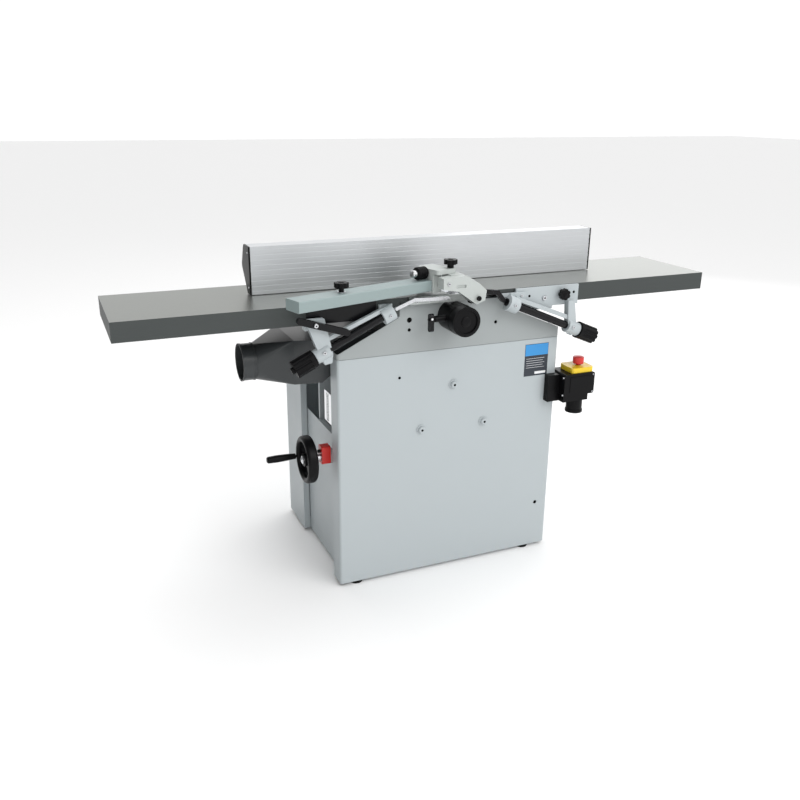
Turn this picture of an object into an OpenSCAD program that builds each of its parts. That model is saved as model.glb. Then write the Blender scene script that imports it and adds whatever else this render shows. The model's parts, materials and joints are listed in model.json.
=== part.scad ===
// Combined surface planer and thicknesser: cabinet, opening tables, fence, bridge guard, cutter
// block, thicknessing table and their controls. X runs along the tables, with the infeed table at
// +X. The operator stands at -Y. Y values inside the functions are counted from the table's front.

/* [Tables] */
// Height of the table tops above the floor
table_top = 870; // [866:1:876]
// Width of the tables
table_w = 312; // [310:1:314]
// Half of the length of both tables together
table_half = 897; // [860:1:940]
// Thickness of the tables' top plate
plate_t = 14; // [12:1:16]
// Depth of the rim around each table
rim_h = 52; // [48:1:54]
// Height of the tables' hinge axis
hinge_z = 800; // [798:1:802]

/* [Cutter] */
// X of the cutter block's axis
cutter_x = 31; // [30:1:32]
// Diameter of the circle that the knives cut
cut_d = 74; // [73:0.5:74]
// Diameter of the cutter block's body
block_d = 70; // [66:1:70]

/* [Cabinet] */
// X of the cabinet's left face
cab_x0 = -323; // [-330:1:-320]
// X of the cabinet's right face
cab_x1 = 384; // [380:1:392]
// Gap between the floor and the cabinet
floor_gap = 10; // [8:1:14]
// Height of the joint between the lower panel and the upper cover
seam_z = 707; // [700:1:712]
// Thickness of the sheet steel
sheet = 2; // [1.5:0.5:2.5]
// Thickness of the two frame cheeks
cheek_t = 12; // [10:1:14]

/* [Fence] */
// Length of the fence
fence_len = 1095; // [1000:5:1110]
// Height of the fence
fence_h = 132; // [120:1:140]
// Distance of the fence's face from the front of the tables
fence_face = 166; // [160:1:170]

/* [Guard] */
// Angle between the parked guard beam and the tables
beam_turn = 16.5; // [14:0.5:18]
// Length of the guard beam
beam_len = 470; // [440:5:480]

/* [Controls] */
// Diameter of the handwheel
wheel_d = 140; // [130:1:150]
// Diameter of the drive shaft behind the handwheel
shaft_d = 20; // [18:1:22]

/* [Hidden] */
$fn = 64;

// Y of the tables' front edge: the whole planer is centred on the frame's origin
front = -216;
rear_edge = front + table_w;
plate_z = table_top - plate_t;
rim_z = table_top - rim_h;
run_gap = 0.05; // radial clearance of every shaft in its hole
seat = 0.03; // how far a straight side ends inside the round end that it joins

// Cutter
cutter_z = table_top - cut_d / 2;
lip_gap = 30; // from the cutter's axis to each table's lip
rim_gap = 178; // from the cutter's axis to each table's deep rim

// Cheeks
panel_y = front + 17;
cheek_y0 = front + 26;
cheek_y1 = front + 282;
hump_x0 = cutter_x - 174;
hump_x1 = cutter_x + 174;
hump_z = 843;
hump_cut = 14; // bevel on the hump's corners, below the tables' rims
shoulder_z = 810;
left_end_z = 722;
right_end_z = 735;

// Table hinges
hinge_y = front + 345;
outfeed_lugs = [-285, -165];
infeed_lugs = [245, 325];
lug_t = 24;
ear_t = 10;
hinge_pin_d = 16;

// Slanted lock rods: middle of the knob and middle of the ring, both in X and Z
rod_y = front - 20;
left_knob = [-426, 720];
left_ring = [-191, 833.5];
right_knob = [452, 721];
right_ring = [192, 829.5];
tube_d = 22;
rod_knob_d = 50;
rod_knob_l = 62;
latch_y = front - 17;

// Drive of the thicknessing table
shaft_y = front + 105;
shaft_z = 392;
wheel_x = -392;
crank_y = shaft_y + 60;
crank_z = shaft_z - 11;
column_y = front + 200;
column_d = 80;
thick_z = 571;
bevel_r = 26;

// Feed rollers and kickback fingers
roller_off = 78;
roller_d = 34;
roller_z = cutter_z - cut_d / 2 + roller_d / 2 - 1;
roller_shaft_d = 16;
rod_x = cutter_x + 118;
rod_z = 826;

// Motor and belt
motor_z = 170;
motor_y = front + 402;
belt_y = front + 340;
belt_w = 20;
motor_pulley_d = 48;
cutter_pulley_d = 40;
box_y = front + 394;
box_z = 600;

// Guard: the beam's near corner, the swing axis and the raising axis
beam_corner = [-17, front + 4, 882];
beam_w = 60;
beam_h = 30;
pivot = [3.5, front];
pivot_in_beam = [18.5, -9.7];
arm_x = 60;
arm_z = 866;
deck_z = 930;

// Fence tilt and fence bar
tilt_axis = [front + fence_face + 37, table_top + 12];
fence_z = table_top + 2;
fence_bar_x = -225;

// Switch
flap_z = 597.5;
button = [455, front + 5];

light_grey = [0.78, 0.81, 0.82];
cream = [0.86, 0.86, 0.82];
iron = [0.42, 0.43, 0.43];
black = [0.07, 0.07, 0.08];
steel = [0.72, 0.73, 0.75];
red = [0.85, 0.12, 0.1];

// ---- Shapes used by many sub-parts ----

// A box from corner a to corner b
module box(a, b) {
  translate(a) cube(b - a);
}

// Cylinders along X, Y and Z, starting at point p
module bar_x(p, d, l) {
  translate(p) rotate([0, 90, 0]) cylinder(d = d, h = l);
}

module bar_y(p, d, l) {
  translate(p) rotate([-90, 0, 0]) cylinder(d = d, h = l);
}

module bar_z(p, d, l) {
  translate(p) cylinder(d = d, h = l);
}

// A plate cut from an outline in X and Z, between y0 and y1
module plate_xz(y0, y1) {
  translate([0, y1, 0]) rotate([90, 0, 0]) linear_extrude(y1 - y0) children();
}

// A plate cut from an outline in Y and Z, between x0 and x1
module plate_yz(x0, x1) {
  translate([x0, 0, 0]) rotate([90, 0, 90]) linear_extrude(x1 - x0) children();
}

// A straight-sided link outline between two round ends of radius r
module link(a, b, r) {
  along = b - a;
  side = (r - seat) * [-along.y, along.x] / norm(along);
  translate(a) circle(r);
  translate(b) circle(r);
  polygon([a + side, b + side, b - side, a - side]);
}

// A rectangle with round corners
module round_rect(a, b, r) {
  translate([a.x + r, a.y]) square([b.x - a.x - 2 * r, b.y - a.y]);
  translate([a.x, a.y + r]) square([b.x - a.x, b.y - a.y - 2 * r]);
  for (x = [a.x + r, b.x - r], y = [a.y + r, b.y - r]) translate([x, y]) circle(r);
}

// Plan of a folded tray: a front wall with rounded corners and two flanges
module tray_plan(x0, x1, y0, depth, r) {
  module blank(x0, x1, y0, r) {
    translate([x0, y0 + r]) square([x1 - x0, depth - r]);
    translate([x0 + r, y0]) square([x1 - x0 - 2 * r, depth]);
    for (x = [x0 + r, x1 - r]) translate([x, y0 + r]) circle(r);
  }
  intersection() {
    translate([x0, y0]) square([x1 - x0, depth]);
    difference() {
      blank(x0, x1, y0, r);
      blank(x0 + sheet, x1 - sheet, y0 + sheet, r - sheet);
      translate([x0 + sheet, y0 + depth / 2]) square([x1 - x0 - 2 * sheet, depth]);
    }
  }
}

// Puts a shape built along +X onto the slanted line from a to b, at the Y of the lock rods
module along_rod(a, b) {
  turn = atan2(b.y - a.y, b.x - a.x);
  translate([a.x, rod_y, a.y]) rotate([0, -turn, 0]) children();
}

// A star knob with its stem, standing on the XY plane
module star_knob(d, h, stem_d, stem_h) {
  cylinder(d = stem_d, h = stem_h + 1);
  translate([0, 0, stem_h]) difference() {
    cylinder(d = d, h = h);
    for (i = [0:6]) rotate([0, 0, i * 360 / 7]) translate([d * 0.58, 0, -1]) cylinder(d = d * 0.3, h = h + 2);
  }
}

// Everything that swings with the guard is built along the beam, from its near corner
module at_beam() {
  translate(beam_corner) rotate([0, 0, beam_turn]) children();
}

// ---- Cabinet ----

module base_pan() {
  x0 = cab_x0 + 26;
  x1 = cab_x1 - 26;
  y0 = panel_y + sheet;
  y1 = front + 558;
  wall = 3;
  color(light_grey) difference() {
    box([x0, y0, floor_gap], [x1, y1, floor_gap + 40]);
    box([x0 + wall, y0 + wall, floor_gap + wall], [x1 - wall, y1 - wall, floor_gap + 41]);
    for (p = foot_places()) bar_z([p.x, p.y, floor_gap - 1], 13, 5);
  }
}

function foot_places() = [
  for (x = [cutter_x - 298, cutter_x + 280], y = [front + 38, front + 530]) [x, y]
];

module levelling_feet() {
  color(black) for (p = foot_places()) {
    bar_z([p.x, p.y, 0], 40, 7);
    bar_z([p.x, p.y, 6], 12, 32);
    translate([p.x, p.y, floor_gap + 3]) cylinder(d = 20, h = 8, $fn = 6);
  }
}

module front_panel() {
  h = seam_z - floor_gap - 1;
  color(light_grey) difference() {
    translate([0, 0, floor_gap]) linear_extrude(h) union() {
      tray_plan(cab_x0, cab_x1, panel_y, 58, 8);
      for (x = [cab_x0, cab_x1 - 24]) translate([x, panel_y + 56]) square([24, sheet]);
    }
    bar_y([341, panel_y - 1, 159], 12, 4);
    for (p = panel_bolts()) bar_y([p.x, panel_y - 1, p.y], 10, 4);
  }
}

function panel_bolts() = [[33, 597], [-68, 470], [137, 468]];

module upper_outline(inset) {
  polygon([
    [cab_x0 + inset, seam_z], [cab_x1 - inset, seam_z], [cab_x1 - inset, right_end_z],
    [hump_x1 + 2, shoulder_z], [hump_x1 + 2, hump_z - hump_cut], [hump_x1 + 2 - hump_cut, hump_z],
    [hump_x0 + hump_cut, hump_z], [hump_x0, hump_z - hump_cut], [hump_x0, shoulder_z],
    [cab_x0 + inset, left_end_z]
  ]);
}

// Outline of a frame cheek: clear of the cover above and of the feet's nuts below
module cheek_outline() {
  x0 = cab_x0 + 33;
  x1 = cab_x1 - 33;
  z0 = floor_gap + 3;
  polygon([
    [x0 + 50, z0], [x1 - 66, z0], [x1 - 66, z0 + 47], [x1, z0 + 47], [x1, right_end_z - 10],
    [hump_x1 - 1, shoulder_z - 6], [hump_x1 - 1, hump_z - hump_cut - 1], [hump_x1 - hump_cut - 1, hump_z - 1],
    [hump_x0 + hump_cut + 1, hump_z - 1], [hump_x0 + 1, hump_z - hump_cut - 1], [hump_x0 + 1, shoulder_z - 6],
    [x0, left_end_z - 10], [x0, z0 + 47], [x0 + 50, z0 + 47]
  ]);
}

module front_cover() {
  color([0.8, 0.81, 0.8]) difference() {
    intersection() {
      translate([0, 0, seam_z]) linear_extrude(hump_z - seam_z) tray_plan(cab_x0, cab_x1, panel_y, 58, 8);
      plate_xz(panel_y - 1, panel_y + 60) upper_outline(0);
    }
    for (h = cover_holes()) bar_y([h.x, panel_y - 1, h.y], h.z, 4);
  }
}

// X, Z and diameter of the holes in the cover
function cover_holes() = [[-110, 801, 15], [-110, 773, 10], [164, 771, 10]];

module side_panels() {
  y0 = front + 77;
  y1 = front + 392;
  z0 = floor_gap + 40;
  top = 440;
  x0 = cab_x0 + 26;
  x1 = cab_x1 - 26;
  color(light_grey) {
    difference() {
      union() {
        box([x0, y0, z0], [x0 + sheet, y1, top]);
        box([x0, y0, top - sheet], [x0 + 18, cheek_y1 - 1, top]);
        bar_x([x0 - 25, shaft_y, shaft_z], 44, 27);
      }
      bar_x([x0 - 30, shaft_y, shaft_z], shaft_d + 2 * run_gap, 40);
    }
    box([x1 - sheet, y0, z0], [x1, y1, top]);
    box([x1 - 18, y0, top - sheet], [x1, cheek_y1 - 1, top]);
  }
}

module rear_box() {
  x0 = cab_x0 + 5;
  x1 = cab_x1 - 5;
  y1 = front + 560;
  hump = 29;
  hump_y = front + 330;
  color(light_grey) {
    difference() {
      box([x0, box_y, floor_gap], [x1, y1, box_z]);
      box([x0 + sheet, box_y - 1, floor_gap - 1], [x1 - sheet, y1 + 1, box_z - sheet]);
    }
    for (x = [x0, x1 - 20]) box([x, box_y, floor_gap], [x + 20, box_y + sheet, box_z - 1]);
    difference() {
      union() {
        box([cutter_x - hump, hump_y, box_z - sheet], [cutter_x + hump, box_y + sheet, 700]);
        box([cutter_x - hump, hump_y, 690], [cutter_x + hump, front + 374, plate_z + 8]);
      }
      box([cutter_x - hump + sheet, hump_y - 1, box_z - 5], [cutter_x + hump - sheet, box_y, 700 - sheet]);
      box([cutter_x - hump + sheet, hump_y - 1, 680], [cutter_x + hump - sheet, front + 372, plate_z + 6]);
    }
  }
}

module rear_cover() {
  y0 = front + 560;
  color(light_grey) difference() {
    box([cab_x0 + 7, y0, floor_gap + 5], [cab_x1 - 7, y0 + sheet, box_z - 2]);
    for (x = [-180, 140], i = [0:8]) box([x, y0 - 1, 90 + i * 16], [x + 100, y0 + 3, 96 + i * 16]);
  }
}

module cheek(y0) {
  color(light_grey) difference() {
    plate_xz(y0, y0 + cheek_t) cheek_outline();
    box([cutter_x - 26, y0 - 1, cutter_z - 26], [cutter_x + 26, y0 + cheek_t + 1, 900]);
    for (x = [-1, 1])
      bar_y([cutter_x + x * roller_off, y0 - 1, roller_z], roller_shaft_d + 2 * run_gap, cheek_t + 2);
    bar_y([rod_x, y0 - 1, rod_z], 10, cheek_t + 2);
  }
}

module front_cheek() {
  cheek(cheek_y0);
}

module rear_cheek() {
  cheek(cheek_y1);
}

// Cap screws on the front panel and cover, each with a washer
module panel_screws() {
  color(steel) for (p = panel_bolts()) {
    bar_y([p.x, panel_y - 2, p.y], 22, 2);
    bar_y([p.x, panel_y - 8, p.y], 15, 6);
    bar_y([p.x, panel_y - 1, p.y], 9.6, 8);
  }
}

// ---- Motor and cutter ----

module motor() {
  c = [cutter_x, motor_z];
  color([0.25, 0.3, 0.36]) {
    bar_y([c.x, motor_y, c.y], 136, 118);
    for (i = [0:23]) translate([c.x, motor_y + 10, c.y]) rotate([0, i * 15, 0])
      box([-1.5, 0, 64], [1.5, 98, 75]);
    bar_y([c.x, motor_y + 118, c.y], 150, 34);
    box([c.x - 40, motor_y + 20, c.y + 60], [c.x + 40, motor_y + 100, c.y + 112]);
    for (y = [motor_y + 14, motor_y + 80]) box([c.x - 60, y, floor_gap + 3], [c.x + 60, y + 24, c.y - 58]);
  }
}

module motor_pulley() {
  r = motor_pulley_d / 2;
  color(iron) {
    bar_y([cutter_x, front + 332, motor_z], 24, 69.5);
    bar_y([cutter_x, belt_y - 4, motor_z], 2 * r + 8, 3.7);
    bar_y([cutter_x, belt_y - 1, motor_z], 2 * r, belt_w + 2);
    bar_y([cutter_x, belt_y + belt_w + 0.3, motor_z], 2 * r + 8, 3.7);
  }
}

module drive_belt() {
  gap = 0.4;
  belt_t = 4;
  lower = [cutter_x, motor_z];
  upper = [cutter_x, cutter_z];
  r0 = motor_pulley_d / 2 + gap;
  r1 = cutter_pulley_d / 2 + gap;
  color(black) plate_xz(belt_y, belt_y + belt_w) difference() {
    belt_loop(lower, upper, r0 + belt_t, r1 + belt_t);
    belt_loop(lower, upper, r0, r1);
  }
}

// The outline of a belt around two circles: their discs and the outer tangents between them
module belt_loop(a, b, ra, rb) {
  span = norm(b - a);
  heading = atan2(b.y - a.y, b.x - a.x);
  lean = acos((ra - rb) / span);
  function rim(c, r, side) = c + (r - seat) * [cos(heading + side * lean), sin(heading + side * lean)];
  translate(a) circle(ra);
  translate(b) circle(rb);
  polygon([rim(a, ra, 1), rim(b, rb, 1), rim(b, rb, -1), rim(a, ra, -1)]);
}

module cutter_block() {
  y0 = front + 44;
  l = 232;
  color(steel) difference() {
    union() {
      bar_y([cutter_x, y0, cutter_z], block_d, l);
      bar_y([cutter_x, cheek_y0 - 4, cutter_z], 25, 344);
    }
    for (i = [0:2]) translate([cutter_x, y0 - 1, cutter_z]) rotate([0, i * 120 + 45, 0])
      box([-9, 0, block_d / 2 - 14], [4, l + 2, block_d]);
  }
}

module cutter_knives() {
  y0 = front + 46;
  l = 228;
  root = block_d / 2 - 14;
  color([0.85, 0.86, 0.88]) for (i = [0:2]) translate([cutter_x, y0, cutter_z]) rotate([0, i * 120 + 45, 0]) {
    box([0.6, 0, root], [4, l, cut_d / 2 - 0.25]);
    box([-9, 0, root], [0.5, l, block_d / 2 - 4]);
  }
}

module cutter_pulley() {
  color(iron) difference() {
    union() {
      bar_y([cutter_x, belt_y - 4, cutter_z], cutter_pulley_d + 3, 3.7);
      bar_y([cutter_x, belt_y - 1, cutter_z], cutter_pulley_d, belt_w + 2);
      bar_y([cutter_x, belt_y + belt_w + 0.3, cutter_z], cutter_pulley_d + 3, 3.7);
    }
    bar_y([cutter_x, belt_y - 5, cutter_z], 25, belt_w + 12);
  }
}

module cutter_bearings() {
  color(steel) for (y = [cheek_y0, cheek_y1]) difference() {
    bar_y([cutter_x, y, cutter_z], 51.8, cheek_t);
    bar_y([cutter_x, y - 1, cutter_z], 25 + 2 * run_gap, cheek_t + 2);
  }
}

module feed_roller(x) {
  bar_y([x, cheek_y0 + cheek_t + 2, roller_z], roller_d, cheek_y1 - cheek_y0 - cheek_t - 4);
  bar_y([x, cheek_y0 - 2, roller_z], roller_shaft_d, cheek_y1 - cheek_y0 + cheek_t + 10);
}

// The fluted steel roller that draws the board in
module feed_roller_in() {
  y0 = cheek_y0 + cheek_t + 2;
  l = cheek_y1 - cheek_y0 - cheek_t - 4;
  color(steel) difference() {
    feed_roller(cutter_x + roller_off);
    for (i = [0:11]) translate([cutter_x + roller_off, y0 - 1, roller_z]) rotate([0, i * 30, 0])
      box([-1.5, 0, roller_d / 2 - 2], [1.5, l + 2, roller_d]);
  }
}

// The smooth roller that draws the board out
module feed_roller_out() {
  color(black) feed_roller(cutter_x - roller_off);
}

module kickback_rod() {
  color(steel) bar_y([rod_x, cheek_y0, rod_z], 10, cheek_y1 - cheek_y0 + cheek_t);
}

module kickback_fingers() {
  first = cheek_y0 + cheek_t + 6;
  pitch = 14;
  color(iron) for (i = [0:15]) translate([0, first + i * pitch, 0]) difference() {
    plate_xz(0, 9) union() {
      translate([rod_x, rod_z]) circle(11);
      polygon([[rod_x - 9, rod_z], [rod_x + 8, rod_z], [rod_x + 12, rod_z - 36], [rod_x + 2, rod_z - 38]]);
    }
    bar_y([rod_x, -1, rod_z], 10 + 2 * run_gap, 11);
  }
}

// ---- Thicknessing table and its drive ----

module thicknesser_table() {
  x0 = cutter_x - 270;
  x1 = cutter_x + 270;
  y0 = front + 46;
  y1 = front + 276;
  bays = 5;
  bay = (x1 - x0 - 10) / bays;
  color(iron) difference() {
    union() {
      difference() {
        box([x0, y0, thick_z - 42], [x1, y1, thick_z]);
        for (i = [0:bays - 1]) translate([x0 + i * bay, 0, 0])
          box([10, y0 + 10, thick_z - 43], [bay, y1 - 10, thick_z - plate_t]);
      }
      bar_z([cutter_x, column_y, 384], 100, thick_z - 384 - plate_t / 2);
      bar_z([cutter_x, shaft_y, 424], 40, thick_z - 424 - plate_t / 2);
    }
    bar_z([cutter_x, column_y, 383], column_d + 2 * run_gap, thick_z - plate_t - 383);
    bar_z([cutter_x, shaft_y, 423], 20 + 2 * run_gap, thick_z - plate_t - 423);
  }
}

module lift_column() {
  color(steel) {
    difference() {
      bar_z([cutter_x, column_y, floor_gap + 3], column_d, 535);
      bar_z([cutter_x, column_y, floor_gap], column_d - 16, 560);
    }
    difference() {
      box([cutter_x - 70, column_y - 70, floor_gap + 3], [cutter_x + 70, column_y + 60, floor_gap + 15]);
      bar_z([cutter_x, column_y, floor_gap], column_d, 40);
    }
    difference() {
      box([cutter_x - 16, shaft_y - 16, floor_gap + 15], [cutter_x + 16, column_y - column_d / 2 + 2, 350]);
      bar_z([cutter_x, column_y, floor_gap], column_d, 400);
      bar_z([cutter_x, shaft_y, 300], 20 + 2 * run_gap, 60);
    }
  }
}

module lift_screw() {
  color(steel) {
    bar_z([cutter_x, shaft_y, 305], 20, 245);
    translate([cutter_x, shaft_y, 352]) cylinder(r1 = bevel_r - 4, r2 = bevel_r - 14, h = 12);
  }
}

module drive_shaft() {
  color(steel) {
    bar_x([wheel_x - 10, shaft_y, shaft_z], shaft_d, cutter_x - 30 - wheel_x + 10);
    translate([cutter_x - 26, shaft_y, shaft_z]) rotate([0, -90, 0])
      cylinder(r1 = bevel_r - 12, r2 = bevel_r - 2, h = 12);
  }
}

module handwheel() {
  rim_r = wheel_d / 2 - 9;
  color(black) difference() {
    union() {
      translate([wheel_x, shaft_y, shaft_z]) rotate([0, 90, 0]) rotate_extrude()
        link([rim_r, -3], [rim_r, 10], 9);
      for (i = [0:2]) translate([wheel_x + 3, shaft_y, shaft_z]) rotate([i * 120 - 10, 0, 0])
        box([-4, 0, -8], [4, rim_r - 1, 8]);
      bar_x([wheel_x - 8, shaft_y, shaft_z], 38, 34);
    }
    bar_x([wheel_x - 20, shaft_y, shaft_z], shaft_d, 60);
  }
  color(steel) bar_x([wheel_x - 95, crank_y, crank_z], 8, 91);
}

module crank_handle() {
  color(black) translate([wheel_x - 101, crank_y, crank_z]) rotate([0, 90, 0]) difference() {
    rotate_extrude() polygon([[0, 0], [7, 0], [10, 4], [11, 30], [10, 60], [8.5, 82], [8.5, 86], [0, 86]]);
    translate([0, 0, 4]) cylinder(d = 8 + 2 * run_gap, h = 100);
  }
}

module position_indicator() {
  x0 = cab_x0 - 26;
  color(red) difference() {
    plate_yz(x0, x0 + 27) round_rect([shaft_y - 17, shaft_z - 18], [shaft_y + 17, shaft_z + 36], 6);
    bar_x([x0 - 1, shaft_y, shaft_z], shaft_d + 2 * run_gap, 40);
  }
}

// ---- Tables ----

// Two rows of pockets between ribs, open below
module rib_pockets(x0, x1, bays, wall) {
  bay = (x1 - x0) / bays;
  mid = front + table_w / 2;
  for (i = [0:bays - 1], row = [[front + wall, mid - 5], [mid + 5, rear_edge - wall]])
    box([x0 + i * bay + 5, row.x, rim_z - 1], [x0 + (i + 1) * bay - 5, row.y, plate_z]);
}

module hinge_lug(x) {
  difference() {
    plate_yz(x - lug_t / 2, x + lug_t / 2) union() {
      translate([hinge_y, hinge_z]) circle(18);
      polygon([
        [rear_edge - 6, rim_z], [hinge_y - 16, hinge_z - 6], [hinge_y + 17, hinge_z + 6],
        [rear_edge + 12, plate_z - 4], [rear_edge - 6, plate_z]
      ]);
    }
    bar_x([x - lug_t, hinge_y, hinge_z], hinge_pin_d + 2 * run_gap, 2 * lug_t);
  }
}

module outfeed_table() {
  end = cutter_x - rim_gap;
  color(iron) {
    difference() {
      union() {
        box([-table_half, front, rim_z], [end, rear_edge, table_top]);
        box([end - 1, front, plate_z], [cutter_x - lip_gap, rear_edge, table_top]);
      }
      rib_pockets(-table_half + 7, end - 7, 5, 12);
      bevel_under_lip(-1);
    }
    for (x = outfeed_lugs) hinge_lug(x);
  }
}

// Wedge that lets each lip come close to the cutter block
module bevel_under_lip(side) {
  tip = cutter_x + side * (lip_gap - 1);
  root = cutter_x + side * (lip_gap + 14);
  plate_xz(front - 1, rear_edge + 1) polygon([[tip, plate_z - 1], [tip, plate_z + 6], [root, plate_z - 1]]);
}

module infeed_table() {
  end = cutter_x + rim_gap;
  color(iron) difference() {
    union() {
      box([end, front, rim_z], [table_half, rear_edge, table_top]);
      box([cutter_x + lip_gap, front, plate_z], [end + 1, rear_edge, table_top]);
    }
    rib_pockets(end + 7, table_half - 7, 5, 12);
    bevel_under_lip(1);
  }
}

// The hinged frame that the infeed table rises and falls on, with its plate before the table
module infeed_carrier() {
  bar_top = rim_z - 5;
  bar_low = bar_top - 10;
  color(light_grey) difference() {
    union() {
      box([212, front - 8, bar_top - 2], [425, front - 0.5, table_top - 1]);
      for (x = infeed_lugs) {
        box([x - lug_t / 2, front - 8, bar_low], [x + lug_t / 2, hinge_y - 15, bar_top]);
        plate_yz(x - lug_t / 2, x + lug_t / 2) translate([hinge_y, hinge_z]) circle(18);
      }
      box([infeed_lugs.x, front - 8, bar_low], [infeed_lugs.y, front + 12, bar_top]);
    }
    for (x = infeed_lugs) bar_x([x - lug_t, hinge_y, hinge_z], hinge_pin_d + 2 * run_gap, 2 * lug_t);
    bar_y([366, front - 9, 845], 10.4, 12);
  }
}

module hinge_brackets() {
  foot_y = cheek_y1 + cheek_t;
  color(light_grey) for (x = concat(outfeed_lugs, infeed_lugs)) {
    for (side = [-1, 1]) {
      x0 = x + side * (lug_t / 2 + 0.5 + ear_t / 2);
      plate_yz(x0 - ear_t / 2, x0 + ear_t / 2) union() {
        translate([hinge_y, hinge_z]) circle(15);
        polygon([
          [foot_y, 640], [hinge_y - 20, 690], [hinge_y + 15, hinge_z], [hinge_y - 8, hinge_z + 12.5],
          [foot_y, 752]
        ]);
      }
    }
    bar_x([x - lug_t, hinge_y, hinge_z], hinge_pin_d, 2 * lug_t);
  }
}

module infeed_lock_knob() {
  color(black) translate([366, front - 9, 845]) rotate([90, 0, 0]) star_knob(34, 14, 16, 8);
  color(steel) bar_y([366, front - 10, 845], 8, 9);
}

// ---- Slanted lock rods with their castings ----

// The two round bosses that carry a lock rod
module rod_bosses(knob, ring) {
  reach = norm(ring - knob);
  along_rod(knob, ring) {
    rotate([0, 90, 0]) translate([0, 0, 33]) cylinder(d = 40, h = 43);
    rotate([0, 90, 0]) translate([0, 0, reach - 17]) cylinder(d = 46, h = 34);
  }
}

// The long bore that a lock rod turns in
module rod_bore(knob, ring) {
  along_rod(knob, ring) rotate([0, 90, 0]) cylinder(d = tube_d + 2 * run_gap, h = norm(ring - knob) + 40);
}

module outfeed_arm() {
  color(light_grey) {
    difference() {
      union() {
        rod_bosses(left_knob, left_ring);
        plate_xz(front - 30, front - 10)
          polygon([[-423, 838], [-371, 838], [-349, 742], [-352, 717], [-372, 714], [-384, 735]]);
        plate_xz(front - 26, front - 14) polygon([[-363, 775], [-196, 845], [-200, 855], [-367, 785]]);
        box([-420, front - 12, rim_z - 12], [-375, front + 12, rim_z]);
        box([-210, front - 8, 822], [-172, front, 858]);
      }
      box([-230, front, 790], [-150, front + 10, 870]);
      rod_bore(left_knob, left_ring);
    }
    bar_y([-400, front - 47, 827], 10, 20);
  }
}

module infeed_arm() {
  color(light_grey) difference() {
    union() {
      rod_bosses(right_knob, right_ring);
      plate_xz(front - 30, front - 8) polygon([[378, 826], [400, 826], [416, 726], [395, 720], [384, 745]]);
      plate_xz(front - 26, front - 14) polygon([[200, 841], [205, 852], [392, 779], [388, 767]]);
      box([190, front - 16, 835], [240, front - 8, 860]);
      box([150, front - 10.5, 848], [195, front - 8, 860]);
    }
    box([150, front - 8, 790], [240, front + 10, 870]);
    rod_bore(right_knob, right_ring);
  }
}

// A bent flat bar through points listed in X and Z
module bent_bar(points, d) {
  plate_xz(latch_y - d / 2, latch_y + d / 2)
    for (i = [0:len(points) - 2]) link(points[i], points[i + 1], d / 2);
}

module outfeed_latch_bar() {
  color(steel) bent_bar([[-164, 846], [-112, 866], [-10, 862]], 10);
}

module infeed_latch_bar() {
  color(black) bent_bar([[164, 843], [144, 867], [106, 872], [61, 848.5]], 13);
}

module lock_rod(knob, ring) {
  along_rod(knob, ring) rotate([0, 90, 0]) translate([0, 0, rod_knob_l / 2])
    cylinder(d = tube_d, h = norm(ring - knob) + 20 - rod_knob_l / 2);
}

module left_lock_rod() {
  color(black) lock_rod(left_knob, left_ring);
}

module right_lock_rod() {
  color(black) lock_rod(right_knob, right_ring);
}

// A fluted knob on the end of a lock rod
module rod_knob(knob, ring) {
  l = rod_knob_l;
  along_rod(knob, ring) rotate([0, 90, 0]) {
    translate([0, 0, -l / 2]) difference() {
      cylinder(d = rod_knob_d, h = l);
      for (i = [0:9]) rotate([0, 0, i * 36])
        translate([rod_knob_d / 2 + 1, 0, -1]) cylinder(d = 8, h = l - 11);
    }
    translate([0, 0, -l / 2 - 8]) cylinder(d = 18, h = 8);
  }
}

module left_rod_knob() {
  color(black) rod_knob(left_knob, left_ring);
}

module right_rod_knob() {
  color(black) rod_knob(right_knob, right_ring);
}

module latch_lever() {
  color(black) plate_xz(front - 46, front - 33) difference() {
    link([-440, 840], [-315, 800], 9);
    translate([-400, 827]) circle(5 + run_gap);
  }
}

module lock_hub() {
  c = [18, 806];
  neck_z = 810;
  color(black) {
    difference() {
      bar_y([c.x, front - 80, c.y], 84, 97);
      bar_y([c.x, front - 81, c.y], 66, 5);
    }
    bar_x([-57, front - 30, neck_z], 18, 50);
    bar_x([-75, front - 30, neck_z], 8, 20);
  }
}

module hub_lever() {
  color(black) plate_yz(-72, -60) difference() {
    link([front - 30, 818], [front - 30, 783], 8);
    translate([front - 30, 810]) circle(4 + run_gap);
  }
}

// ---- Fence ----

// End view of the fence in Y and Z: thin foot, deep middle, ribs across the face
module fence_outline() {
  translate([front + fence_face, fence_z]) polygon([
    [0, 0], [30, 0], [36, 10], [82, 0.5 * fence_h], [83, 0.56 * fence_h], [60, fence_h - 9],
    [54, fence_h - 2], [0, fence_h - 2]
  ]);
}

// The hollow inside the fence
module fence_hollow() {
  translate([front + fence_face, fence_z]) polygon([
    [5, 5], [27, 5], [32, 13], [77, 0.5 * fence_h + 1], [78, 0.56 * fence_h - 1],
    [57, fence_h - 12], [51, fence_h - 7], [5, fence_h - 7]
  ]);
}

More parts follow.
